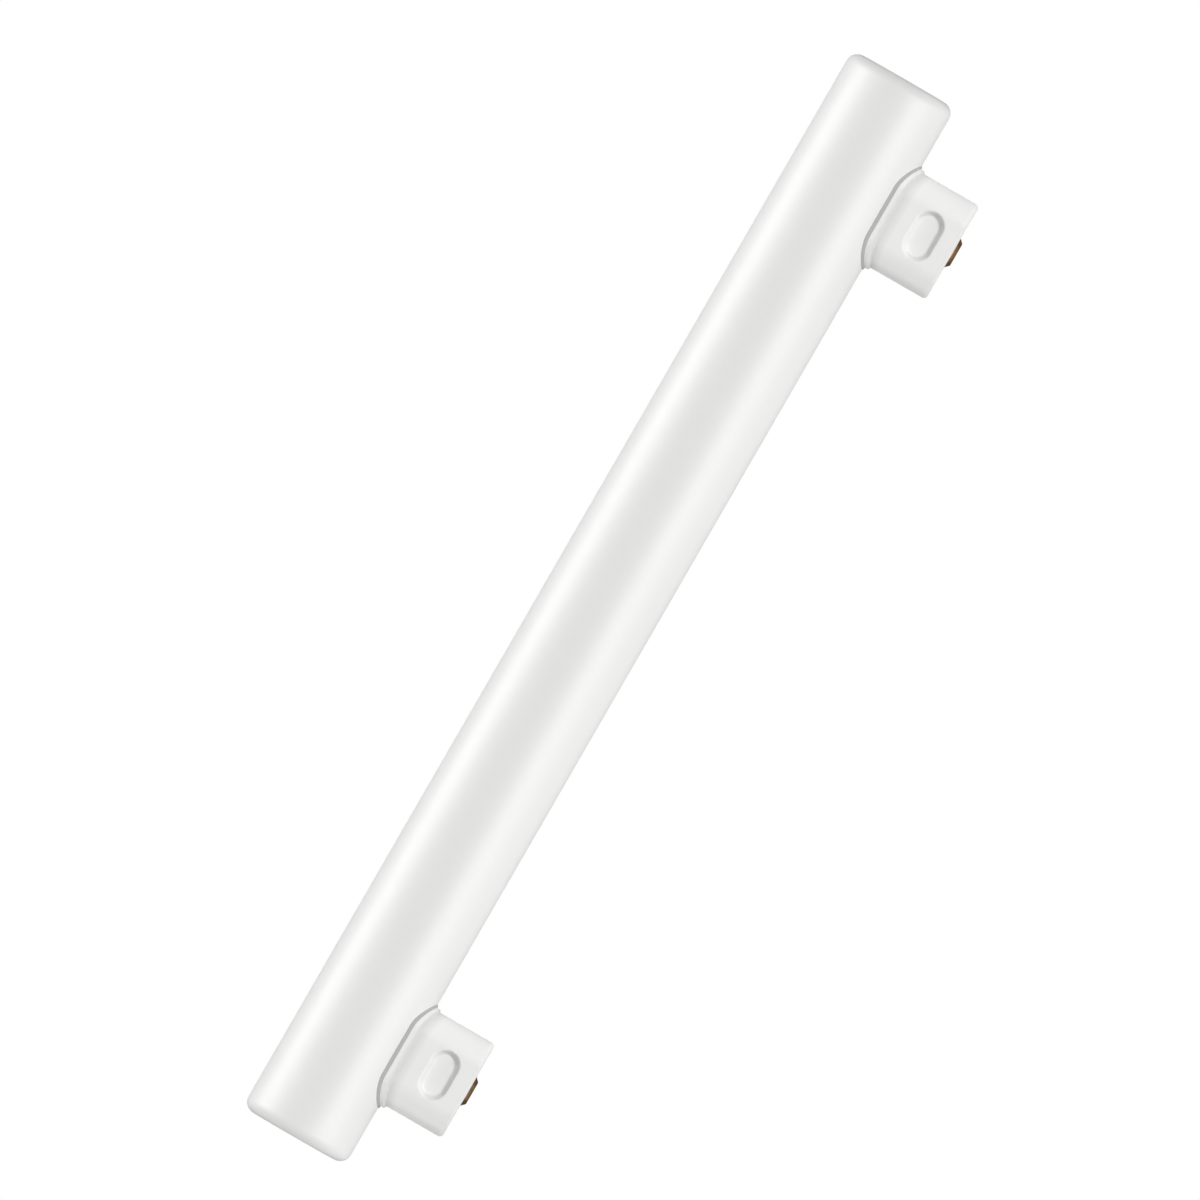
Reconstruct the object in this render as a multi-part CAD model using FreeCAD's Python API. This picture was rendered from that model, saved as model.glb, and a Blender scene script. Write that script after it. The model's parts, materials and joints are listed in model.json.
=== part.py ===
import FreeCAD, Part
import math
import os

from FreeCAD import Vector

# Linear side-cap lamp: a closed opal tube with two single-contact caps on its
# back. Lengths are in millimetres.
#
# The pieces are drawn in the lamp's own axes and laid down at the end:
#   X runs along the tube, Z points from the tube's centre line out through
#   the caps, and Y runs across the narrow side of the caps.

# Tube
tube_length = 300.0
tube_diameter = 29.0
tube_wall = 1.0
tube_end_round = 3.0          # rounding between the flat end and the wall

# Caps: a stadium-shaped post with a saddle foot on the tube
cap_from_end = 31.0           # from the tube's end to the cap's centre
cap_length = 26.5             # along the tube
cap_width = 14.0              # across the tube
cap_height = 17.2             # from the tube's surface to the cap's end face
cap_wall = 1.2
cap_end_wall = 1.5
cap_end_round = 1.1           # rounding around the end face

foot_rise = 1.0               # thickness of the saddle foot
foot_overhang_ends = 0.7      # how far the foot passes the post's round ends
foot_overhang_sides = 1.6     # how far the foot passes the post's flat sides
foot_corner_ease = 0.5        # how much wider the foot's corners turn than the post's ends
foot_edge_round = 0.35
foot_root_round = 0.5         # hollow corner where the post rises off the foot

# Cement under the foot, squeezed out in a bead all round it
cement_thickness = 0.35
cement_squeeze = 0.75
cement_edge_round = 0.3

# Catch recess in both flat sides of a cap
recess_length = 13.2          # at the mouth, along the tube
recess_height = 7.4           # at the mouth, across it
recess_depth = 2.0
recess_wall_slope = 28.0      # degrees from straight down
recess_from_end = 8.25        # from the cap's end face to the recess centre
recess_mouth_round = 0.4
recess_floor_round = 0.7

# Contact: a brass cup pressed from sheet, set in a window in the end face
contact_length = 8.2
contact_width = 4.6
contact_stand_out = 1.05      # above the end face
contact_slope = 45.0          # degrees from straight up
contact_sheet = 0.5
contact_window_gap = 0.1      # around the cup in its window
contact_plate_end = 1.7       # from a peg's centre to the plate's end
contact_plate_gap = 0.6       # from the plate's long sides to the recess walls

# Pegs moulded on the end wall, staked over to hold the contact's plate
peg_spacing = 11.6
peg_diameter = 1.4
peg_hole_gap = 0.05
peg_head_diameter = 2.4
peg_head_height = 0.5

# Tag bent down from the contact's plate, for the lead
tag_width = 3.0
tag_length = 4.0

# Lead from its sealed seat in the tube's wall to the tag
lead_diameter = 1.7
lead_core_diameter = 0.7
lead_seat_gap = 0.1
lead_seat_depth = 0.5         # sunk into the tube's wall
lead_straight = 3.0           # straight run out of the seat
lead_bare_length = 4.2        # stripped end
lead_tip_gap = 0.6            # from the stripped end to the plate

# Solder around the stripped end, flat on the tag
solder_diameter = 2.0
solder_length = 2.6
solder_round = 0.5
solder_film = 0.2             # between the stripped end and the tag
solder_from_tag_end = 0.4

# Values worked out from the sizes above
tube_radius = tube_diameter / 2.0
cap_spacing = tube_length - 2.0 * cap_from_end
foot_inner_radius = tube_radius + cement_thickness
foot_outer_radius = foot_inner_radius + foot_rise
cap_face_z = tube_radius + cap_height
end_wall_inner_z = cap_face_z - cap_end_wall
plate_inner_z = end_wall_inner_z - contact_sheet
foot_length = cap_length + 2.0 * foot_overhang_ends
foot_width = cap_width + 2.0 * foot_overhang_sides
foot_corner_round = cap_width / 2.0 + foot_corner_ease
cavity_length = cap_length - 2.0 * cap_wall
cavity_width = cap_width - 2.0 * cap_wall
contact_plate_width = cap_width - 2.0 * (recess_depth + cap_wall + contact_plate_gap)
lead_seat_z = tube_radius - lead_seat_depth
tag_inner_y = contact_plate_width / 2.0 - contact_sheet
lead_end_y = tag_inner_y - solder_film - lead_core_diameter / 2.0

x_axis = Vector(1, 0, 0)
z_axis = Vector(0, 0, 1)
origin = Vector(0, 0, 0)
touch = 1e-4                  # how near a point counts as lying on a face


def stadium_prism(length, width, low, high):
    """A prism with round ends: length along X, width along Y."""
    radius = width / 2.0
    half = length / 2.0 - radius
    right_low = Vector(half, -radius, low)
    right_high = Vector(half, radius, low)
    left_high = Vector(-half, radius, low)
    left_low = Vector(-half, -radius, low)
    outline = Part.Wire([
        Part.LineSegment(left_low, right_low).toShape(),
        Part.Arc(right_low, Vector(half + radius, 0, low), right_high).toShape(),
        Part.LineSegment(right_high, left_high).toShape(),
        Part.Arc(left_high, Vector(-half - radius, 0, low), left_low).toShape(),
    ])
    return Part.Face(outline).extrude(z_axis * (high - low))


def tapered_stadium(straight, low_width, low, high_width, high):
    """A round-ended block whose sides all slope alike between two heights."""
    low_half = low_width / 2.0
    high_half = high_width / 2.0
    side = straight / 2.0
    corners = [
        Vector(-side, -low_half, low),
        Vector(-side, low_half, low),
        Vector(-side, high_half, high),
        Vector(-side, -high_half, high),
        Vector(-side, -low_half, low),
    ]
    body = Part.Face(Part.makePolygon(corners)).extrude(x_axis * straight)
    for x in (-side, side):
        body = body.fuse(Part.makeCone(low_half, high_half, high - low, Vector(x, 0, low), z_axis))
    return body.removeSplitter()


def tube_cylinder(radius, length):
    """A cylinder on the tube's centre line, with its seam away from the caps."""
    cylinder = Part.makeCylinder(radius, length, Vector(-length / 2.0, 0, 0), x_axis)
    seam = [edge for edge in cylinder.Edges if len(edge.Vertexes) == 2][0]
    middle = seam.CenterOfMass
    turn = math.degrees(math.atan2(middle.y, middle.z)) + 180.0
    cylinder.rotate(origin, x_axis, turn)
    return cylinder


def edge_middle(edge):
    return edge.valueAt((edge.FirstParameter + edge.LastParameter) / 2.0)


def edges_on(shape, belongs):
    """The edges whose middle point meets a condition."""
    return [edge for edge in shape.Edges if belongs(edge_middle(edge))]


def outside_stadium(point, length, width):
    """How far a point lies outside a stadium outline in the XY plane."""
    radius = width / 2.0
    half = length / 2.0 - radius
    along = max(abs(point.x) - half, 0.0)
    return math.hypot(along, point.y) - radius


def foot_prism(grow, low, high):
    """A prism on the foot's outline, or on that outline grown on every side."""
    half_x = foot_length / 2.0 + grow
    half_y = foot_width / 2.0 + grow
    block = Part.makeBox(2.0 * half_x, 2.0 * half_y, high - low, Vector(-half_x, -half_y, low))

    def on_corner(point):
        return abs(abs(point.x) - half_x) < touch and abs(abs(point.y) - half_y) < touch

    return block.makeFillet(foot_corner_round + grow, edges_on(block, on_corner))


def outside_foot(point, grow):
    """How far a point lies outside the foot's grown outline in the XY plane."""
    along = max(abs(point.x) - foot_length / 2.0 + foot_corner_round, 0.0)
    across = max(abs(point.y) - foot_width / 2.0 + foot_corner_round, 0.0)
    return math.hypot(along, across) - foot_corner_round - grow


def axis_distance(point):
    return math.hypot(point.y, point.z)


def closed_capsule(radius, length, end_round):
    """A cylinder along X whose flat ends are rounded at the rim."""
    capsule = tube_cylinder(radius, length)
    rims = [edge for edge in capsule.Edges if len(edge.Vertexes) == 1]
    return capsule.makeFillet(end_round, rims)


def make_tube():
    """The closed opal tube: one blown wall, with a seat for each lead."""
    outside = closed_capsule(tube_radius, tube_length, tube_end_round)
    inside = closed_capsule(
        tube_radius - tube_wall, tube_length - 2.0 * tube_wall, tube_end_round - tube_wall,
    )
    tube = outside.cut(inside)
    seat_radius = lead_diameter / 2.0 + lead_seat_gap
    for x in cap_places():
        seat = Vector(x, 0, lead_seat_z)
        tube = tube.cut(Part.makeCylinder(seat_radius, cap_height, seat, z_axis))
    return tube


def recess_tool(grow, shift):
    """The sloped recess as a solid, its mouth on the XY plane, opening up.

    grow widens it on every side and shift moves it down, so that the same
    form makes the wall behind the recess.
    """
    slope_run = recess_depth * math.tan(math.radians(recess_wall_slope))
    straight = recess_length - recess_height
    mouth = recess_height + 2.0 * grow
    floor = mouth - 2.0 * slope_run
    return tapered_stadium(straight, floor, -recess_depth - shift, mouth, -shift)


def on_flat_side(shape, side):
    """Turns a shape drawn on the XY plane onto one flat side of the cap."""
    placed = shape.copy()
    placed.rotate(origin, x_axis, -90.0 * side)
    placed.translate(Vector(0, side * cap_width / 2.0, cap_face_z - recess_from_end))
    return placed


def add_recesses(post):
    """Sinks the catch recess into both flat sides, with soft edges."""
    flat_y = cap_width / 2.0
    floor_y = flat_y - recess_depth
    for side in (-1, 1):
        post = post.cut(on_flat_side(recess_tool(0.0, 0.0), side))
    centre_z = cap_face_z - recess_from_end
    half_height = recess_height / 2.0
    half_length = recess_length / 2.0

    def on_recess(point, y):
        inside_z = abs(point.z - centre_z) <= half_height + touch
        inside_x = abs(point.x) <= half_length + touch
        return abs(abs(point.y) - y) < touch and inside_z and inside_x

    floors = edges_on(post, lambda point: on_recess(point, floor_y))
    post = post.makeFillet(recess_floor_round, floors)
    mouths = edges_on(post, lambda point: on_recess(point, flat_y))
    return post.makeFillet(recess_mouth_round, mouths)


def make_cap_outside():
    """The cap's outer form: post, saddle foot, soft edges and recesses."""
    post = stadium_prism(cap_length, cap_width, 0.0, cap_face_z)
    end_edges = edges_on(post, lambda point: abs(point.z - cap_face_z) < touch)
    post = post.makeFillet(cap_end_round, end_edges)
    post = add_recesses(post)
    foot = foot_prism(0.0, 0.0, cap_face_z)
    foot = foot.common(tube_cylinder(foot_outer_radius, cap_spacing))
    body = post.fuse(foot).removeSplitter()

    def on_foot_top(point):
        return abs(axis_distance(point) - foot_outer_radius) < touch

    def on_root(point):
        return on_foot_top(point) and abs(outside_stadium(point, cap_length, cap_width)) < touch

    def on_rim(point):
        return on_foot_top(point) and abs(outside_foot(point, 0.0)) < touch

    body = body.makeFillet(foot_root_round, edges_on(body, on_root))
    body = body.makeFillet(foot_edge_round, edges_on(body, on_rim))
    return body.cut(tube_cylinder(foot_inner_radius, cap_spacing))


def make_cavity():
    """The hollow inside a cap, kept one wall away from the recesses."""
    cavity = stadium_prism(cavity_length, cavity_width, 0.0, end_wall_inner_z)
    slope = math.radians(recess_wall_slope)
    grow = cap_wall * (1.0 / math.cos(slope) - math.tan(slope))
    for side in (-1, 1):
        cavity = cavity.cut(on_flat_side(recess_tool(grow, cap_wall), side))
    return cavity


def peg_places():
    return (-peg_spacing / 2.0, peg_spacing / 2.0)


def make_cap_shell():
    """The moulded cap with its contact window and staked pegs."""
    shell = make_cap_outside().cut(make_cavity())
    window_length = contact_length + 2.0 * contact_window_gap
    window_width = contact_width + 2.0 * contact_window_gap
    shell = shell.cut(stadium_prism(window_length, window_width, plate_inner_z, cap_face_z))
    head_low_z = plate_inner_z - peg_head_height
    for x in peg_places():
        shank_height = end_wall_inner_z - plate_inner_z
        shank = Part.makeCylinder(peg_diameter / 2.0, shank_height, Vector(x, 0, plate_inner_z), z_axis)
        head = Part.makeCylinder(peg_head_diameter / 2.0, peg_head_height, Vector(x, 0, head_low_z), z_axis)
        low_rim = edges_on(head, lambda point: abs(point.z - head_low_z) < touch)
        head = head.makeFillet(peg_head_height / 2.0, low_rim)
        shell = shell.fuse(shank.fuse(head))
    return shell.removeSplitter()


def contact_dome(inset):
    """The cup's form, offset inwards by inset from its outer skin."""
    slope = math.radians(contact_slope)
    straight = contact_length - contact_width
    low_width = contact_width - 2.0 * inset
    bend_z = cap_face_z - inset * math.tan(slope / 2.0)
    top_z = cap_face_z + contact_stand_out - inset
    top_width = low_width - 2.0 * (top_z - bend_z) * math.tan(slope)
    wall = stadium_prism(straight + low_width, low_width, plate_inner_z, bend_z)
    crown = tapered_stadium(straight, low_width, bend_z, top_width, top_z)
    return wall.fuse(crown).removeSplitter()


def make_contact():
    """The brass cup with its holding plate, peg holes and lead tag."""
    plate_length = peg_spacing + 2.0 * contact_plate_end
    plate = stadium_prism(plate_length, contact_plate_width, plate_inner_z, end_wall_inner_z)
    hole_radius = peg_diameter / 2.0 + peg_hole_gap
    for x in peg_places():
        plate = plate.cut(Part.makeCylinder(hole_radius, contact_sheet, Vector(x, 0, plate_inner_z), z_axis))
    tag_corner = Vector(-tag_width / 2.0, tag_inner_y, plate_inner_z - tag_length)
    tag = Part.makeBox(tag_width, contact_sheet, tag_length + contact_sheet, tag_corner)
    return plate.fuse([contact_dome(0.0), tag]).cut(contact_dome(contact_sheet)).removeSplitter()


def lead_path():
    """The lead's centre line: straight, an easy S bend, straight."""
    tag_end_z = plate_inner_z - lead_tip_gap - lead_bare_length
    bend_low_z = lead_seat_z + lead_straight
    rise = (tag_end_z - bend_low_z) / 2.0
    turn = 2.0 * math.atan2(lead_end_y / 2.0, rise)
    radius = rise / math.sin(turn)
    half_turn = turn / 2.0
    step_out = radius * (1.0 - math.cos(half_turn))
    step_up = radius * math.sin(half_turn)
    start = Vector(0, 0, lead_seat_z)
    low = Vector(0, 0, bend_low_z)
    middle = Vector(0, lead_end_y / 2.0, bend_low_z + rise)
    high = Vector(0, lead_end_y, tag_end_z)
    return Part.Wire([
        Part.LineSegment(start, low).toShape(),
        Part.Arc(low, low + Vector(0, step_out, step_up), middle).toShape(),
        Part.Arc(middle, high - Vector(0, step_out, step_up), high).toShape(),
    ]), high


def make_lead():
    """The insulated lead with its stripped end."""
    path, sleeve_end = lead_path()
    start = Vector(0, 0, lead_seat_z)
    ring = Part.Wire(Part.makeCircle(lead_diameter / 2.0, start, z_axis))
    sleeve = path.makePipeShell([ring], True, False)
    core = Part.makeCylinder(lead_core_diameter / 2.0, lead_bare_length, sleeve_end, z_axis)
    return sleeve.fuse(core).removeSplitter()


def make_solder():
    """The solder that holds the stripped end against the tag."""
    low_z = plate_inner_z - tag_length + solder_from_tag_end
    bead = Part.makeCylinder(solder_diameter / 2.0, solder_length, Vector(0, lead_end_y, low_z), z_axis)
    rims = [edge for edge in bead.Edges if len(edge.Vertexes) == 1]
    bead = bead.makeFillet(solder_round, rims)
    core = Part.makeCylinder(lead_core_diameter / 2.0, cap_height, Vector(0, lead_end_y, lead_seat_z), z_axis)
    behind_tag = Part.makeBox(
        solder_diameter, solder_diameter, cap_height,
        Vector(-solder_diameter / 2.0, tag_inner_y, lead_seat_z),
    )
    return bead.cut([core, behind_tag])


def make_cement():
    """The cement layer under the foot, with the bead squeezed out round it."""
    layer = foot_prism(cement_squeeze, 0.0, cap_face_z)
    layer = layer.common(tube_cylinder(foot_inner_radius, cap_spacing))

    def on_rim(point):
        on_top = abs(axis_distance(point) - foot_inner_radius) < touch
        return on_top and abs(outside_foot(point, cement_squeeze)) < touch

    layer = layer.makeFillet(cement_edge_round, edges_on(layer, on_rim))
    layer = layer.cut(tube_cylinder(tube_radius, cap_spacing))
    return layer.cut(stadium_prism(cavity_length, cavity_width, 0.0, cap_face_z))


def cap_places():
    return (-cap_spacing / 2.0, cap_spacing / 2.0)


def resting_dip():
    """The angle by which the caps dip when the lamp lies on a flat surface.

    The tube and the rounded lower edge of each cap's end face both touch
    the surface, so the two touching circles give one equation.
    """
    reach = cap_face_z - cap_end_round
    drop = cap_width / 2.0 - cap_end_round
    lift = tube_radius - cap_end_round
    return math.asin(lift / math.hypot(reach, drop)) - math.atan2(drop, reach)


def make_pieces():
    """Every piece by name, in the lamp's own axes."""
    cap_pieces = {
        "cap_shell": make_cap_shell(),
        "contact": make_contact(),
        "lead_wire": make_lead(),
        "solder": make_solder(),
        "cement": make_cement(),
    }
    pieces = {"tube": make_tube()}
    for side, x in zip(("left", "right"), cap_places()):
        for name, shape in cap_pieces.items():
            placed = shape.copy()
            placed.translate(x_axis * x)
            pieces[name + "_" + side] = placed
    return pieces


def lay_down(pieces):
    """Turns the lamp as it lies and sets it on the XY plane, box centred."""
    turn = 90.0 + math.degrees(resting_dip())
    for shape in pieces.values():
        shape.rotate(origin, x_axis, turn)
    box = Part.makeCompound(list(pieces.values())).optimalBoundingBox(False, False)
    shift = Vector(-box.Center.x, -box.Center.y, tube_radius)
    for shape in pieces.values():
        shape.translate(shift)


os.makedirs("parts", exist_ok=True)
lamp = make_pieces()
lay_down(lamp)
for name, shape in lamp.items():
    shape.exportStep("parts/" + name + ".step")
    print(name, "solids", len(shape.Solids), "valid", shape.isValid(), "volume", round(shape.Volume, 2))
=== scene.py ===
# Linear side-cap lamp for Blender 4.5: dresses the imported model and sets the
# studio round it. Lengths are in millimetres until they are placed in the frame.
import json
import math

import bmesh
import bpy
from mathutils import Matrix, Vector, noise


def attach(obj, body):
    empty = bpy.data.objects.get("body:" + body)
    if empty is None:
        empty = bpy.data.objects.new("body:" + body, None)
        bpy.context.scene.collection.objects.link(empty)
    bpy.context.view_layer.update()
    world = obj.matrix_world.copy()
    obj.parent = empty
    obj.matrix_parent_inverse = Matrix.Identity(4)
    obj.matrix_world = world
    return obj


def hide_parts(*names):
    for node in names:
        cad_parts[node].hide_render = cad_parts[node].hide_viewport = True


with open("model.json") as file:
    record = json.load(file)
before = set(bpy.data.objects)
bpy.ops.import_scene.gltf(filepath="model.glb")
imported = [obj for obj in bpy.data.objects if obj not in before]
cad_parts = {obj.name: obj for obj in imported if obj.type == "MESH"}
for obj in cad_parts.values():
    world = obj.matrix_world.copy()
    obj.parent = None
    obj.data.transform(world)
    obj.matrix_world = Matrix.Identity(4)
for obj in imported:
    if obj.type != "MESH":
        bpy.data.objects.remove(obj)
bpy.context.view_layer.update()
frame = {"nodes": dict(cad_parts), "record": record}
millimetre = 0.001

# The lamp's own axes: x along the tube, y across the caps and up, n out of the
# tube through the caps. The caps' mounts in the record say where they lie.
mounts = {mount["name"]: mount for mount in frame["record"]["mounts"]}
capFace = 31.7                # from the tube's centre line to a cap's end face
alongTube = Vector((1.0, 0.0, 0.0))
outOfCaps = Vector(mounts["left_cap"]["axis"])
acrossCaps = Vector((0.0, outOfCaps.z, -outOfCaps.y))
leftFace = Vector(mounts["left_cap"]["pos_m"])
rightFace = Vector(mounts["right_cap"]["pos_m"])
tubeMiddle = (leftFace + rightFace) / 2 - outOfCaps * capFace * millimetre
capPlaces = {"left": leftFace.x / millimetre, "right": rightFace.x / millimetre}


def inFrame(x, y, n):
    return tubeMiddle + (alongTube * x + acrossCaps * y + outOfCaps * n) * millimetre


def toLinear(hexColour):
    parts = [int(hexColour[i:i + 2], 16) / 255 for i in (1, 3, 5)]
    return [p / 12.92 if p <= 0.04045 else ((p + 0.055) / 1.055) ** 2.4 for p in parts] + [1.0]


def toGrey(amount):
    return (amount, amount, amount, 1.0)


def patternScale(size):
    # for a pattern whose marks are this many millimetres across
    return 1 / (size * millimetre)


def addNode(tree, kind, settings=None, links=None):
    node = tree.nodes.new(kind)
    for name, value in (settings or {}).items():
        if isinstance(name, int) or name in node.inputs:
            node.inputs[name].default_value = value
        else:
            setattr(node, name, value)
    for name, source in (links or {}).items():
        tree.links.new(source, node.inputs[name])
    return node


def newMaterial(name):
    material = bpy.data.materials.new(name)
    material.use_nodes = True
    material.node_tree.nodes.clear()
    return material, material.node_tree


def quarterTurns(steps):
    # the angles of a rounding, from none to a right angle
    return [math.pi / 2 * i / steps for i in range(steps + 1)]


def skinRings(rings, endless):
    # Joins rings of equally many points; open ends are closed with one face
    columns = len(rings[0])
    points = [inFrame(*point) for ring in rings for point in ring]
    rows = list(range(len(rings))) + ([0] if endless else [])
    faces = []
    for low, high in zip(rows, rows[1:]):
        for i in range(columns):
            j = (i + 1) % columns
            faces.append((low * columns + i, low * columns + j, high * columns + j, high * columns + i))
    if not endless:
        last = (len(rings) - 1) * columns
        faces.append(tuple(reversed(range(columns))))
        faces.append(tuple(range(last, last + columns)))
    return points, faces


def addPiece(name, points, faces, material, slot, node, sharpAngle=40.0):
    mesh = bpy.data.meshes.new(name)
    mesh.from_pydata(points, [], faces)
    work = bmesh.new()
    work.from_mesh(mesh)
    bmesh.ops.recalc_face_normals(work, faces=work.faces)
    work.to_mesh(mesh)
    work.free()
    mesh.shade_smooth()
    mesh.set_sharp_from_angle(angle=math.radians(sharpAngle))
    mesh.materials.append(material)
    piece = bpy.data.objects.new(name, mesh)
    bpy.context.scene.collection.objects.link(piece)
    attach(piece, "root")
    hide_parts(node)
    return piece


print("camera")
photo = {
    "lens": 1600.0,           # very long lens: the photo shows no perspective
    "sensor": 36.0,
    "frame": 295.0,           # of the lamp's plane that the square picture takes in
    "tubeTurn": 60.0,         # degrees of the tube above the picture's lower edge
    "aimRight": 0.3,          # picture's middle from the tube's middle
    "aimUp": 1.88,
}


def addCamera():
    turn = math.radians(photo["tubeTurn"])
    right = alongTube * math.cos(turn) + outOfCaps * math.sin(turn)
    up = alongTube * math.sin(turn) - outOfCaps * math.cos(turn)
    distance = photo["frame"] * photo["lens"] / photo["sensor"] * millimetre
    aim = tubeMiddle + (right * photo["aimRight"] + up * photo["aimUp"]) * millimetre
    data = bpy.data.cameras.new("camera")
    data.lens = photo["lens"]
    data.sensor_width = photo["sensor"]
    data.clip_start = distance / 10
    data.clip_end = distance * 4
    camera = bpy.data.objects.new("camera", data)
    bpy.context.scene.collection.objects.link(camera)
    camera.matrix_world = Matrix((right, up, acrossCaps)).transposed().to_4x4()
    camera.location = aim + acrossCaps * distance
    bpy.context.scene.camera = camera


addCamera()

print("materials")


def makeOpalGlass():
    # Opal soda-lime glass, drawn and satin etched: milky, with no clear
    # highlight and a trace of cloud drawn out along the tube
    material, tree = newMaterial("opalGlassSatinEtched")
    place = addNode(tree, "ShaderNodeTexCoord")
    # cloud 12.5 mm across and eight times as long
    drawn = addNode(
        tree, "ShaderNodeMapping",
        {"Scale": (patternScale(100.0), patternScale(12.5), patternScale(12.5))},
        {"Vector": place.outputs["Object"]},
    )
    cloud = addNode(
        tree, "ShaderNodeTexNoise", {"Scale": 1.0, "Detail": 3.0}, {"Vector": drawn.outputs["Vector"]},
    )
    milk = addNode(tree, "ShaderNodeValToRGB", {}, {"Fac": cloud.outputs["Fac"]})
    milk.color_ramp.elements[0].color = toLinear("#EDEDEC")
    milk.color_ramp.elements[1].color = toLinear("#F0F0EF")
    # etching is about 0.05 mm, drawn at 0.3 mm so that it shows
    etch = addNode(
        tree, "ShaderNodeTexNoise", {"Scale": patternScale(0.3), "Detail": 2.0},
        {"Vector": place.outputs["Object"]},
    )
    relief = addNode(
        tree, "ShaderNodeBump", {"Strength": 0.06, "Distance": 0.05 * millimetre},
        {"Height": etch.outputs["Fac"]},
    )
    glass = addNode(
        tree, "ShaderNodeBsdfPrincipled",
        {"IOR": 1.52, "Roughness": 0.42, "Coat Weight": 0.6, "Coat Roughness": 0.45},
        {"Base Color": milk.outputs["Color"], "Normal": relief.outputs["Normal"]},
    )
    addNode(tree, "ShaderNodeOutputMaterial", {}, {"Surface": glass.outputs["BSDF"]})
    return material


def makeCapPlastic():
    # White PBT, injection moulded in a spark-eroded tool: matt, even in tone, with a grain
    # that just breaks the sheen, and with painted shade in the post's root corner and on the end's rim
    material, tree = newMaterial("whitePbtMoulded")
    place = addNode(tree, "ShaderNodeTexCoord")
    # flow of the melt, about 8 mm
    flow = addNode(
        tree, "ShaderNodeTexNoise", {"Scale": patternScale(8.33), "Detail": 2.0},
        {"Vector": place.outputs["Object"]},
    )
    white = addNode(tree, "ShaderNodeValToRGB", {}, {"Fac": flow.outputs["Fac"]})
    white.color_ramp.elements[0].color = toLinear("#DFDFDE")
    white.color_ramp.elements[1].color = toLinear("#E2E2E1")
    # how much painted shade goes on at each distance from the tube's axis:
    # painted shade in the corner where the post rises off the foot, and
    # painted shade on the rim of the end
    paintedShade = ((15.4, 0.0), (15.96, 1.0), (16.52, 0.55), (18.2, 0.0), (31.1, 0.0), (31.9, 0.5))
    inner, outer = paintedShade[0][0], paintedShade[-1][0]
    fromAxis = addNode(
        tree, "ShaderNodeVectorMath", {"operation": "SUBTRACT", 1: tubeMiddle},
        {0: place.outputs["Object"]},
    )
    outward = addNode(
        tree, "ShaderNodeVectorMath", {"operation": "MULTIPLY", 1: (0.0, 1.0, 1.0)},
        {0: fromAxis.outputs["Vector"]},
    )
    radius = addNode(tree, "ShaderNodeVectorMath", {"operation": "LENGTH"}, {0: outward.outputs["Vector"]})
    reach = addNode(
        tree, "ShaderNodeMapRange", {"From Min": inner * millimetre, "From Max": outer * millimetre},
        {"Value": radius.outputs["Value"]},
    )
    paintedShadeRamp = addNode(tree, "ShaderNodeValToRGB", {}, {"Fac": reach.outputs["Result"]})
    marks = paintedShadeRamp.color_ramp.elements
    marks[0].color = toGrey(paintedShade[0][1])
    marks[1].color = toGrey(paintedShade[-1][1])
    for distance, amount in paintedShade[1:-1]:
        marks.new((distance - inner) / (outer - inner)).color = toGrey(amount)
    # painted shade: the white is mixed towards grey by that amount
    shadedWhite = addNode(
        tree, "ShaderNodeMix", {"data_type": "RGBA", "blend_type": "MIX", 7: toLinear("#C4C4C2")},
        {0: paintedShadeRamp.outputs["Color"], 6: white.outputs["Color"]},
    )
    # spark-eroded grain, 0.15 mm
    grain = addNode(
        tree, "ShaderNodeTexNoise", {"Scale": patternScale(0.15), "Detail": 3.0},
        {"Vector": place.outputs["Object"]},
    )
    relief = addNode(
        tree, "ShaderNodeBump", {"Strength": 0.1, "Distance": 0.03 * millimetre},
        {"Height": grain.outputs["Fac"]},
    )
    plastic = addNode(
        tree, "ShaderNodeBsdfPrincipled",
        {"IOR": 1.55, "Roughness": 0.5},
        {"Base Color": shadedWhite.outputs[2], "Normal": relief.outputs["Normal"]},
    )
    addNode(tree, "ShaderNodeOutputMaterial", {}, {"Surface": plastic.outputs["BSDF"]})
    return material


def makeContactBrass():
    # Brass strip, pressed and slightly tarnished: brown in the bends, brighter
    # where the tool rubbed it
    material, tree = newMaterial("brassPressedTarnished")
    place = addNode(tree, "ShaderNodeTexCoord")
    # tarnish in patches of about 1.5 mm
    patches = addNode(
        tree, "ShaderNodeTexNoise", {"Scale": patternScale(1.54), "Detail": 4.0},
        {"Vector": place.outputs["Object"]},
    )
    tint = addNode(tree, "ShaderNodeValToRGB", {}, {"Fac": patches.outputs["Fac"]})
    tint.color_ramp.elements[0].position = 0.35
    tint.color_ramp.elements[0].color = toLinear("#948060")
    tint.color_ramp.elements[1].position = 0.7
    tint.color_ramp.elements[1].color = toLinear("#C99A72")
    brass = addNode(
        tree, "ShaderNodeBsdfPrincipled",
        {"Metallic": 1.0, "Roughness": 0.35},
        {"Base Color": tint.outputs["Color"]},
    )
    addNode(tree, "ShaderNodeOutputMaterial", {}, {"Surface": brass.outputs["BSDF"]})
    return material


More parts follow.
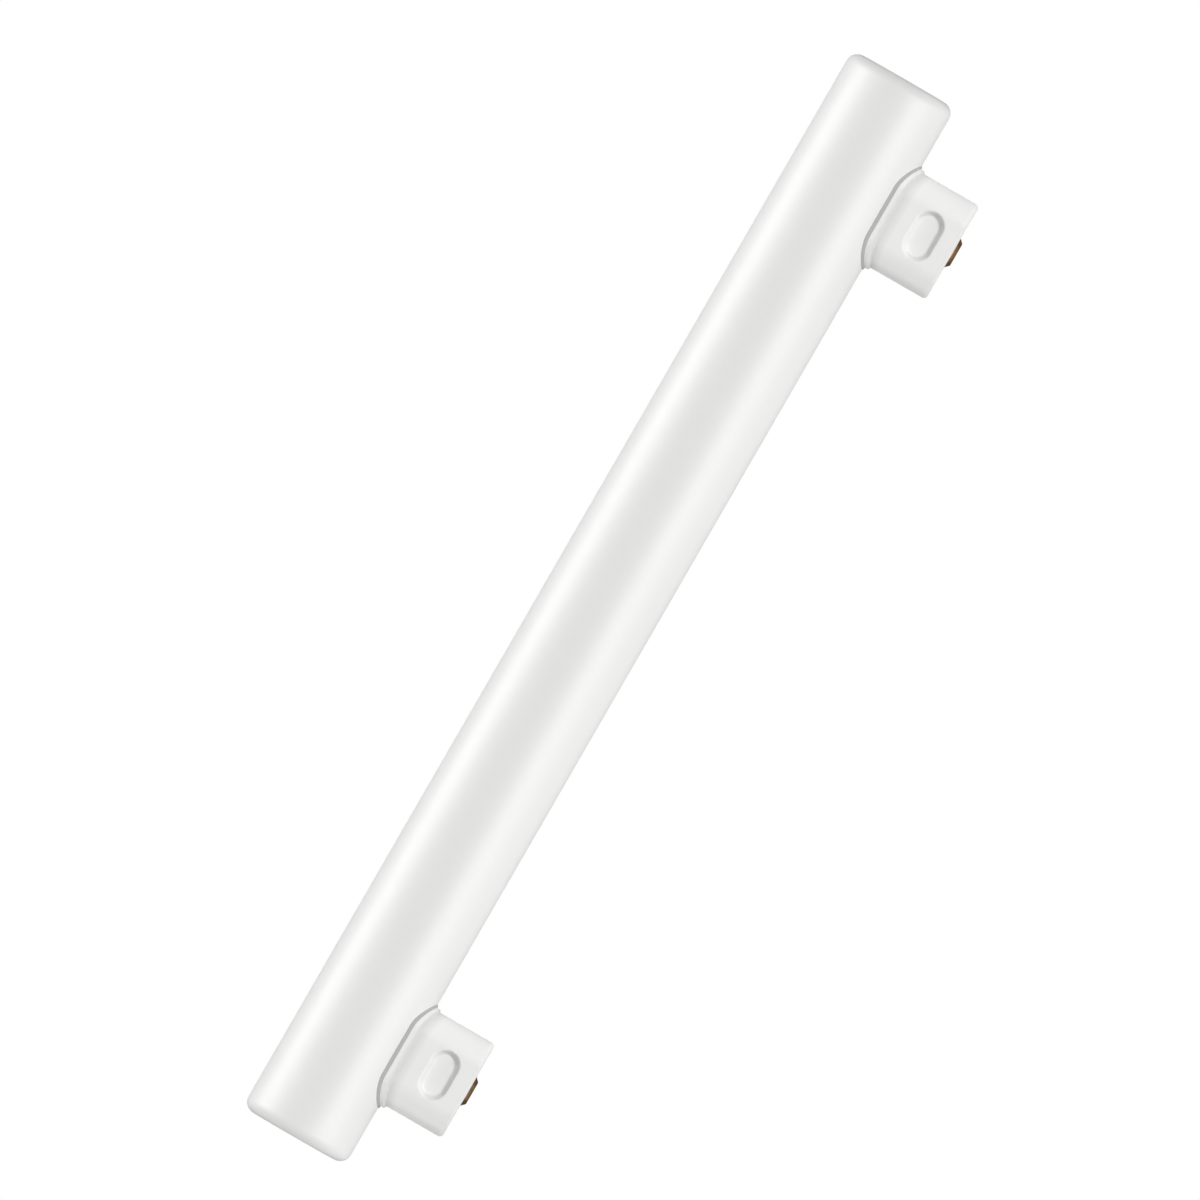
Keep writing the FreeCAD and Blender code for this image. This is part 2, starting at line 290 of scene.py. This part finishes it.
def makeCement():
    # Silicone cement, squeezed out and cured: grey, matt, slightly grainy
    material, tree = newMaterial("cementCured")
    place = addNode(tree, "ShaderNodeTexCoord")
    # filler grains, 0.2 mm
    filler = addNode(
        tree, "ShaderNodeTexNoise", {"Scale": patternScale(0.2), "Detail": 3.0},
        {"Vector": place.outputs["Object"]},
    )
    grey = addNode(tree, "ShaderNodeValToRGB", {}, {"Fac": filler.outputs["Fac"]})
    grey.color_ramp.elements[0].color = toLinear("#9C9C9A")
    grey.color_ramp.elements[1].color = toLinear("#A9A9A7")
    relief = addNode(
        tree, "ShaderNodeBump", {"Strength": 0.3, "Distance": 0.05 * millimetre},
        {"Height": filler.outputs["Fac"]},
    )
    cement = addNode(
        tree, "ShaderNodeBsdfPrincipled",
        {"IOR": 1.45, "Roughness": 0.8},
        {"Base Color": grey.outputs["Color"], "Normal": relief.outputs["Normal"]},
    )
    addNode(tree, "ShaderNodeOutputMaterial", {}, {"Surface": cement.outputs["BSDF"]})
    return material


def makeLeadSleeve():
    # Silicone sleeve, extruded: soft ivory with the die's fine marks on it
    material, tree = newMaterial("siliconeExtruded")
    place = addNode(tree, "ShaderNodeTexCoord")
    # dust and handling, about 2 mm
    dust = addNode(
        tree, "ShaderNodeTexNoise", {"Scale": patternScale(2.0), "Detail": 4.0},
        {"Vector": place.outputs["Object"]},
    )
    ivory = addNode(tree, "ShaderNodeValToRGB", {}, {"Fac": dust.outputs["Fac"]})
    ivory.color_ramp.elements[0].color = toLinear("#D9D4C6")
    ivory.color_ramp.elements[1].color = toLinear("#E6E2D6")
    # marks of the die, about 0.1 mm
    dieMarks = addNode(
        tree, "ShaderNodeTexNoise", {"Scale": patternScale(0.11), "Detail": 1.0},
        {"Vector": place.outputs["Object"]},
    )
    relief = addNode(
        tree, "ShaderNodeBump", {"Strength": 0.15, "Distance": 0.03 * millimetre},
        {"Height": dieMarks.outputs["Fac"]},
    )
    sleeve = addNode(
        tree, "ShaderNodeBsdfPrincipled",
        {"IOR": 1.41, "Roughness": 0.45},
        {"Base Color": ivory.outputs["Color"], "Normal": relief.outputs["Normal"]},
    )
    addNode(tree, "ShaderNodeOutputMaterial", {}, {"Surface": sleeve.outputs["BSDF"]})
    return material


def makeSolder():
    # Tin solder, run and cooled: bright, dulled in grains where it froze
    material, tree = newMaterial("tinSolderCooled")
    place = addNode(tree, "ShaderNodeTexCoord")
    # frozen grains, 0.4 mm
    grains = addNode(
        tree, "ShaderNodeTexVoronoi", {"Scale": patternScale(0.4)}, {"Vector": place.outputs["Object"]},
    )
    tin = addNode(tree, "ShaderNodeValToRGB", {}, {"Fac": grains.outputs["Distance"]})
    tin.color_ramp.elements[0].color = toLinear("#C9C9C6")
    tin.color_ramp.elements[1].color = toLinear("#B3B3B0")
    dull = addNode(
        tree, "ShaderNodeMapRange", {"To Min": 0.25, "To Max": 0.5}, {"Value": grains.outputs["Distance"]},
    )
    solder = addNode(
        tree, "ShaderNodeBsdfPrincipled", {"Metallic": 1.0},
        {"Base Color": tin.outputs["Color"], "Roughness": dull.outputs["Result"]},
    )
    addNode(tree, "ShaderNodeOutputMaterial", {}, {"Surface": solder.outputs["BSDF"]})
    return material


opalGlass = makeOpalGlass()
capPlastic = makeCapPlastic()
contactBrass = makeContactBrass()
cement = makeCement()
leadSleeve = makeLeadSleeve()
tinSolder = makeSolder()

print("tube")
tube = {
    "radius": 14.5,
    "length": 300.0,
    "endRound": 3.0,
    "roundSteps": 14,
    "bodySteps": 60,
    "sides": 192,
    "faceRings": (0.5, 2.0, 5.0, 8.0, 10.0),    # radii of the rings on its flat ends
}


def tubeProfile():
    # from the middle of the right end's face to the middle of the left one's
    half = tube["length"] / 2
    soft = tube["endRound"]
    corner = [
        (half - soft + soft * math.cos(turn), tube["radius"] - soft + soft * math.sin(turn))
        for turn in quarterTurns(tube["roundSteps"])
    ]
    rightEnd = [(half, radius) for radius in tube["faceRings"]] + corner
    straight = half - soft
    body = [
        (straight - 2 * straight * i / tube["bodySteps"], tube["radius"])
        for i in range(1, tube["bodySteps"])
    ]
    return rightEnd + body + [(-x, radius) for x, radius in reversed(rightEnd)]


def addTube():
    turns = [2 * math.pi * i / tube["sides"] for i in range(tube["sides"])]
    rings = [
        [(x, radius * math.cos(turn), radius * math.sin(turn)) for turn in turns]
        for x, radius in tubeProfile()
    ]
    return addPiece("opalTube", *skinRings(rings, False), opalGlass, "opal_glass", "tube")


opalTube = addTube()

print("caps")
cap = {
    "length": 26.5,
    "width": 14.0,
    "endRound": 1.1,
    "wall": 1.2,
    "endWall": 1.5,
    "footThick": 1.0,
    "footPastEnds": 0.7,
    "footPastSides": 1.6,
    "footCorner": 7.5,        # radius of its corners, seen from the end face
    "footEdge": 0.35,
    "footRoot": 0.5,
    "windowLength": 8.4,
    "windowWidth": 4.8,
    "windowEdge": 0.15,
    "straightSteps": 88,
    "arcSteps": 34,
    "flatFrom": 8.0,          # the larger, the later in the turn a squared end's flat starts
    "edgeSteps": 8,
    "rowSpacing": 0.6,        # away from the recess, and how much is left plain round it
}
recess = {
    "length": 13.2,           # at the mouth
    "height": 7.4,
    "fromFace": 8.25,         # from the end face to its middle
    "depth": 2.0,
    "wallSlope": 28.0,        # degrees from straight down
    "mouthRound": 0.4,
    "floorRound": 0.7,
    "rowSpacing": 0.14,
}
bead = {
    "thickness": 0.35,        # of the cement under the foot
    "squeeze": 0.75,          # how far it stands out past the foot
    "unevenness": 0.07,
    "wavesApart": 5.0,
    "steps": 8,
}
# Distances from the tube's centre line: of the foot's saddle and top, of both
# sides of the recess with a row to spare, of the end's rounding and inner face
footRadius = tube["radius"] + bead["thickness"]
footTop = footRadius + cap["footThick"]
recessFrom = capFace - recess["fromFace"] - recess["height"] / 2 - cap["rowSpacing"]
recessTo = recessFrom + recess["height"] + 2 * cap["rowSpacing"]
roundFrom = capFace - cap["endRound"]
innerFace = capFace - cap["endWall"]


def stadium(length, width, corner=None):
    # Points round a stadium, always the same number: one flat side, one end,
    # the other side and the other end. A smaller corner gives squared ends
    radius = corner or width / 2
    half = length / 2 - radius
    flat = width / 2 - radius
    steps = cap["straightSteps"]
    arc = cap["arcSteps"]
    shares = [2 * i / steps - 1 for i in range(steps)]
    # arc steps are finer near the flat sides, where the recess runs past them
    turns = [math.pi / 2 * (1 - math.cos(math.pi * i / arc)) for i in range(arc)]
    side = [(half * share, width / 2) for share in shares]
    end = []
    for turn in turns:
        onFlat = max(-1.0, min(1.0, cap["flatFrom"] * math.cos(turn)))
        end.append((half + radius * math.sin(turn), radius * math.cos(turn) + flat * onFlat))
    return side + end + [(-x, -y) for x, y in side + end]


def footOutline(grow=0.0):
    length = cap["length"] + 2 * (cap["footPastEnds"] + grow)
    width = cap["width"] + 2 * (cap["footPastSides"] + grow)
    return stadium(length, width, cap["footCorner"] + grow)


def postOutline(grow=0.0):
    return stadium(cap["length"] + 2 * grow, cap["width"] + 2 * grow)


def recessDepth(x, n):
    # How deep the recess lies under the cap's flat side at x, n: a rounded
    # mouth, a sloping wall, a rounded foot and a flat floor
    half = (recess["length"] - recess["height"]) / 2
    away = math.hypot(max(abs(x) - half, 0.0), n - (capFace - recess["fromFace"]))
    inside = recess["height"] / 2 - away
    steepness = math.pi / 2 - math.radians(recess["wallSlope"])
    mouth, foot, depth = recess["mouthRound"], recess["floorRound"], recess["depth"]
    mouthReach = mouth * math.tan(steepness / 2)
    footReach = foot * math.tan(steepness / 2)
    run = depth / math.tan(steepness)
    if inside <= -mouthReach:
        return 0.0
    if inside < mouthReach * math.cos(steepness):
        return mouth - math.sqrt(mouth ** 2 - (inside + mouthReach) ** 2)
    if inside < run - footReach * math.cos(steepness):
        return inside * math.tan(steepness)
    if inside < run + footReach:
        return depth - foot + math.sqrt(foot ** 2 - (run + footReach - inside) ** 2)
    return depth


def pressedIn(x, y, n, width):
    # A point of a wall this wide, moved in to the recess's surface
    sunk = width / 2 - recessDepth(x, n)
    return (x, math.copysign(min(abs(y), sunk), y), n)


def saddle(radius, y):
    return math.sqrt(radius ** 2 - y ** 2)


def spaced(low, high, step):
    count = max(1, round((high - low) / step))
    return [low + (high - low) * i / count for i in range(count + 1)]


def mixed(first, second, share):
    return first + (second - first) * share


def between(outer, inner, share):
    return [(mixed(a[0], b[0], share), mixed(a[1], b[1], share)) for a, b in zip(outer, inner)]


def footRings():
    # up the foot's side, round its rim, in over its top and up the root
    edge, root = cap["footEdge"], cap["footRoot"]
    side = footOutline()
    rings = [
        [(x, y, mixed(saddle(footRadius, y), saddle(footTop, y) - edge, rise)) for x, y in side]
        for rise in (0.0, 0.5, 1.0)
    ]
    for turn in quarterTurns(cap["edgeSteps"])[1:]:
        rim = footOutline(-edge * (1 - math.cos(turn)))
        rings.append([(x, y, saddle(footTop, y) - edge * (1 - math.sin(turn))) for x, y in rim])
    for share in (0.33, 0.67):
        top = between(footOutline(-edge), postOutline(root), share)
        rings.append([(x, y, saddle(footTop, y)) for x, y in top])
    for turn in quarterTurns(cap["edgeSteps"]):
        ring = postOutline(root * (1 - math.sin(turn)))
        rings.append([(x, y, saddle(footTop, y) + root * (1 - math.cos(turn))) for x, y in ring])
    return rings


def postRings():
    # from the root's curved line to level rows, close together at the recess
    post = postOutline()
    rings = [
        [(x, y, mixed(saddle(footTop, y) + cap["footRoot"], recessFrom, share)) for x, y in post]
        for share in (0.2, 0.4, 0.6, 0.8)
    ]
    rows = spaced(recessFrom, recessTo, recess["rowSpacing"])
    rows += spaced(recessTo, roundFrom, cap["rowSpacing"])[1:]
    return rings + [[pressedIn(x, y, n, cap["width"]) for x, y in post] for n in rows]


def endRings():
    # over the rounded edge, in across the end face and through the window
    soft, chamfer = cap["endRound"], cap["windowEdge"]
    length, width = cap["windowLength"], cap["windowWidth"]
    rings = []
    for turn in quarterTurns(cap["edgeSteps"])[1:]:
        ring = postOutline(-soft * (1 - math.cos(turn)))
        rings.append([(x, y, roundFrom + soft * math.sin(turn)) for x, y in ring])
    mouth = stadium(length + 2 * chamfer, width + 2 * chamfer)
    for share in (0.15, 0.3, 0.5, 0.7, 0.85, 1.0):
        rings.append([(x, y, capFace) for x, y in between(postOutline(-soft), mouth, share)])
    window = stadium(length, width)
    return rings + [[(x, y, n) for x, y in window] for n in (capFace - chamfer, innerFace)]


def hollowRings():
    # back down the inside, one wall behind the outside and the recesses
    hollow = postOutline(-cap["wall"])
    width = cap["width"] - 2 * cap["wall"]
    rows = reversed(spaced(recessFrom, innerFace, cap["rowSpacing"]))
    rings = [[pressedIn(x, y, n, width) for x, y in hollow] for n in rows]
    for share in (0.5, 1.0):
        rings.append([(x, y, mixed(recessFrom, saddle(footRadius, y), share)) for x, y in hollow])
    return rings


def addCap(side):
    place = capPlaces[side]
    rings = footRings() + postRings() + endRings() + hollowRings()
    skin = skinRings([[(place + x, y, n) for x, y, n in ring] for ring in rings], True)
    return addPiece("cap_" + side, *skin, capPlastic, "cap_plastic", "cap_shell_" + side)


def addCement(side):
    # up a rounded bead from the tube to the foot, then in along the foot's saddle
    # and down to the tube inside the hollow; the last face runs back on the tube
    place = capPlaces[side]
    rings = []
    for turn in quarterTurns(bead["steps"]):
        radius = mixed(tube["radius"], footRadius, math.sin(turn))
        ring = []
        for (x, y), (outX, outY) in zip(footOutline(), footOutline(1.0)):
            where = Vector((place + x, y, 0.0)) / bead["wavesApart"]
            out = (bead["squeeze"] + bead["unevenness"] * noise.noise(where)) * math.cos(turn)
            x, y = mixed(x, outX, out), mixed(y, outY, out)
            ring.append((place + x, y, saddle(radius, y)))
        rings.append(ring)
    for radius in (footRadius, tube["radius"]):
        rings.append([(place + x, y, saddle(radius, y)) for x, y in postOutline(-cap["wall"])])
    skin = skinRings(rings, True)
    return addPiece("cement_bead_" + side, *skin, cement, "cement", "cement_" + side)


capPieces = [addCap(side) for side in capPlaces]
capPieces += [addCement(side) for side in capPlaces]

print("contacts")
contact = {
    "straight": 3.6,          # between the centres of its round ends
    "width": 4.6,
    "standOut": 1.05,
    "sheet": 0.5,
    "plateLength": 15.0,
    "plateWidth": 6.4,
    "bend": 0.35,             # rounding of the pressed edges
    "bendSteps": 5,
    "plateBend": 0.1,
    "plateEdge": 0.05,
    "seam": 0.1,              # half width of the last ring, which one face closes
    "tagWidth": 3.0,
    "tagLength": 4.0,
}


def roundedPath(corners, radii):
    # A path of width and height through corners, each rounded by its radius
    path = [corners[0]]
    for before, corner, after, radius in zip(corners, corners[1:], corners[2:], radii):
        start, middle, stop = Vector(before), Vector(corner), Vector(after)
        inward, onward = (start - middle).normalized(), (stop - middle).normalized()
        half = inward.angle(onward) / 2
        reach = radius / math.tan(half)
        centre = middle + (inward + onward).normalized() * radius / math.sin(half)
        first, last = middle + inward * reach - centre, middle + onward * reach - centre
        for i in range(contact["bendSteps"] + 1):
            share = i / contact["bendSteps"]
            path.append(tuple(centre + first.lerp(last, share).normalized() * radius))
    return path + [corners[-1]]


def addContact(side):
    place = capPlaces[side]
    half, sheet, bend = contact["width"] / 2, contact["sheet"], contact["bend"]
    top = capFace + contact["standOut"]
    plateTop = innerFace
    plateHalf = contact["plateWidth"] / 2
    plateBottom = plateTop - sheet
    plateBend, seam = contact["plateBend"], contact["seam"]
    # the cup's sides slope at 45 degrees, so its inside turns this much sooner
    flank = sheet * math.tan(math.radians(22.5))
    # half widths and heights of the sheet's section, outer skin then inner
    topHalf = half - contact["standOut"]
    outer = roundedPath(
        [(seam, top), (topHalf, top), (half, capFace), (half, plateTop),
         (plateHalf, plateTop), (plateHalf, plateBottom)],
        [bend, bend, plateBend, contact["plateEdge"]],
    )
    inner = roundedPath(
        [(plateHalf, plateBottom), (half - sheet, plateBottom), (half - sheet, capFace - flank),
         (topHalf - flank, top - sheet), (seam, top - sheet)],
        [plateBend, plateBend, plateBend],
    )
    rings = []
    for reach, n in outer + inner[1:]:
        onPlate = max(0.0, reach - half) / (plateHalf - half)
        length = mixed(contact["straight"] + 2 * reach, contact["plateLength"], onPlate)
        rings.append([(place + x, y, n) for x, y in stadium(length, 2 * reach)])
    points, faces = skinRings(rings, False)
    # tag for the lead, bent down from the plate
    count = len(points)
    tagY, wide = plateHalf - sheet, contact["tagWidth"] / 2
    low = plateBottom - contact["tagLength"]
    section = ((-wide, tagY), (wide, tagY), (wide, tagY + sheet), (-wide, tagY + sheet))
    for n in (low, plateTop - sheet / 2):
        points += [inFrame(place + x, y, n) for x, y in section]
    for i in range(4):
        j = (i + 1) % 4
        faces.append((count + i, count + j, count + 4 + j, count + 4 + i))
    faces += [(count + 3, count + 2, count + 1, count), (count + 4, count + 5, count + 6, count + 7)]
    return addPiece(
        "contact_cup_" + side, points, faces, contactBrass, "contact_brass", "contact_" + side, 30.0,
    )


capPieces += [addContact(side) for side in capPlaces]

nodes = frame["nodes"]
for side in capPlaces:
    nodes["lead_wire_" + side].material_slots[0].material = leadSleeve
    nodes["solder_" + side].material_slots[0].material = tinSolder

print("studio")
studio = {
    "floorWide": 12000.0,
    "tentColour": "#FFFFFF",
    "tentStrength": 0.65,
    "tentEndStrength": 0.1,   # dark cards off both ends of the lamp
    "cardsFrom": 0.45,        # share of a look's length that goes along the tube
    "cardsFull": 0.8,
    "floorSeen": 1.0,         # what the camera sees of the paper
    "floorGlow": 1.1,         # what it throws back on matt surfaces
    "floorMirrored": 0.15,    # and on glossy ones
    "lightDistance": 16000.0,
}
# A light's angle goes from the view of the caps' flat side towards their ends,
# its turn towards the lamp's right end, both in degrees. Cards keep the first
# set off all but the tube
tubeLights = {
    "tubeKey": {"angle": 40.0, "turn": 0.0, "wide": 5200.0, "high": 5200.0, "watts": 435.0},
    "tubeSide": {"angle": 60.0, "turn": 0.0, "wide": 5200.0, "high": 5200.0, "watts": 140.0},
    "tubeTop": {"angle": 15.0, "turn": 0.0, "wide": 5200.0, "high": 5200.0, "watts": 65.0},
    "tubeFill": {"angle": -35.0, "turn": 0.0, "wide": 9000.0, "high": 5200.0, "watts": 85.0},
    "nearStrip": {"angle": 71.0, "turn": 0.0, "wide": 16000.0, "high": 1200.0, "watts": 675.0},
    "farKey": {"angle": -66.0, "turn": 0.0, "wide": 16000.0, "high": 3000.0, "watts": 145.0},
    "farStrip": {"angle": -87.0, "turn": 0.0, "wide": 16000.0, "high": 4000.0, "watts": 1300.0},
}
# and this set off all but the caps, their cement and their contacts
capLights = {
    "capKey": {"angle": 28.0, "turn": 24.0, "wide": 4000.0, "high": 4000.0, "watts": 1555.0},
    "capLow": {"angle": 70.0, "turn": 0.0, "wide": 2000.0, "high": 2000.0, "watts": 160.0},
    "capSide": {"angle": 45.0, "turn": 60.0, "wide": 2000.0, "high": 2000.0, "watts": 155.0},
    "capFar": {"angle": 20.0, "turn": -75.0, "wide": 3000.0, "high": 3000.0, "watts": 100.0},
    "capEndFill": {"angle": 0.0, "turn": -88.0, "wide": 800.0, "high": 4000.0, "watts": 430.0},
}


def addLight(name, light):
    angle = math.radians(light["angle"])
    turn = math.radians(light["turn"])
    direction = acrossCaps * math.cos(angle) + outOfCaps * math.sin(angle)
    direction = direction * math.cos(turn) + alongTube * math.sin(turn)
    data = bpy.data.lights.new(name, "AREA")
    data.shape = "RECTANGLE"
    data.size = light["wide"] * millimetre
    data.size_y = light["high"] * millimetre
    data.energy = light["watts"]
    lamp = bpy.data.objects.new(name, data)
    bpy.context.scene.collection.objects.link(lamp)
    lamp.location = tubeMiddle + direction * studio["lightDistance"] * millimetre
    lamp.rotation_euler = (-direction).to_track_quat("-Z", "X").to_euler()
    return lamp


def addFlaggedLights(lights, litName, pieces):
    lit = bpy.data.collections.new(litName)
    for piece in pieces:
        lit.objects.link(piece)
    for name, light in lights.items():
        addLight(name, light).light_linking.receiver_collection = lit


addFlaggedLights(tubeLights, "tubeAlone", [opalTube])
addFlaggedLights(capLights, "capsAlone", capPieces)


def addTent():
    # A white tent, dark towards both ends, that the camera sees as plain white
    world = bpy.data.worlds.new("tent")
    bpy.context.scene.world = world
    world.use_nodes = True
    tree = world.node_tree
    tree.nodes.clear()
    colour = toLinear(studio["tentColour"])
    looking = addNode(tree, "ShaderNodeTexCoord")
    sideways = addNode(tree, "ShaderNodeSeparateXYZ", {}, {"Vector": looking.outputs["Generated"]})
    offEnd = addNode(tree, "ShaderNodeMath", {"operation": "ABSOLUTE"}, {0: sideways.outputs["X"]})
    dimmed = addNode(
        tree, "ShaderNodeMapRange",
        {"From Min": studio["cardsFrom"], "From Max": studio["cardsFull"],
         "To Min": studio["tentStrength"], "To Max": studio["tentEndStrength"]},
        {"Value": offEnd.outputs["Value"]},
    )
    sky = addNode(
        tree, "ShaderNodeBackground", {"Color": colour}, {"Strength": dimmed.outputs["Result"]},
    )
    backdrop = addNode(tree, "ShaderNodeBackground", {"Color": colour})
    ray = addNode(tree, "ShaderNodeLightPath")
    tent = addNode(
        tree, "ShaderNodeMixShader", {},
        {0: ray.outputs["Is Camera Ray"], 1: sky.outputs["Background"], 2: backdrop.outputs["Background"]},
    )
    addNode(tree, "ShaderNodeOutputWorld", {}, {"Surface": tent.outputs["Shader"]})


def addFloor():
    # White paper under the lamp, brighter to matt surfaces than to the camera
    half = studio["floorWide"] / 2 * millimetre
    corners = [(-half, -half, 0), (half, -half, 0), (half, half, 0), (-half, half, 0)]
    mesh = bpy.data.meshes.new("floor")
    mesh.from_pydata(corners, [], [(0, 1, 2, 3)])
    floor = bpy.data.objects.new("floor", mesh)
    bpy.context.scene.collection.objects.link(floor)
    material, tree = newMaterial("paperSweep")
    white = toGrey(1.0)
    ray = addNode(tree, "ShaderNodeLightPath")
    seen = addNode(tree, "ShaderNodeEmission", {"Color": white, "Strength": studio["floorSeen"]})
    glow = addNode(tree, "ShaderNodeEmission", {"Color": white, "Strength": studio["floorGlow"]})
    mirrored = addNode(tree, "ShaderNodeEmission", {"Color": white, "Strength": studio["floorMirrored"]})
    bounced = addNode(
        tree, "ShaderNodeMixShader", {},
        {0: ray.outputs["Is Glossy Ray"], 1: glow.outputs[0], 2: mirrored.outputs[0]},
    )
    paper = addNode(
        tree, "ShaderNodeMixShader", {},
        {0: ray.outputs["Is Camera Ray"], 1: bounced.outputs[0], 2: seen.outputs[0]},
    )
    addNode(tree, "ShaderNodeOutputMaterial", {}, {"Surface": paper.outputs[0]})
    mesh.materials.append(material)


addTent()
addFloor()
bpy.context.scene.view_settings.view_transform = "Standard"
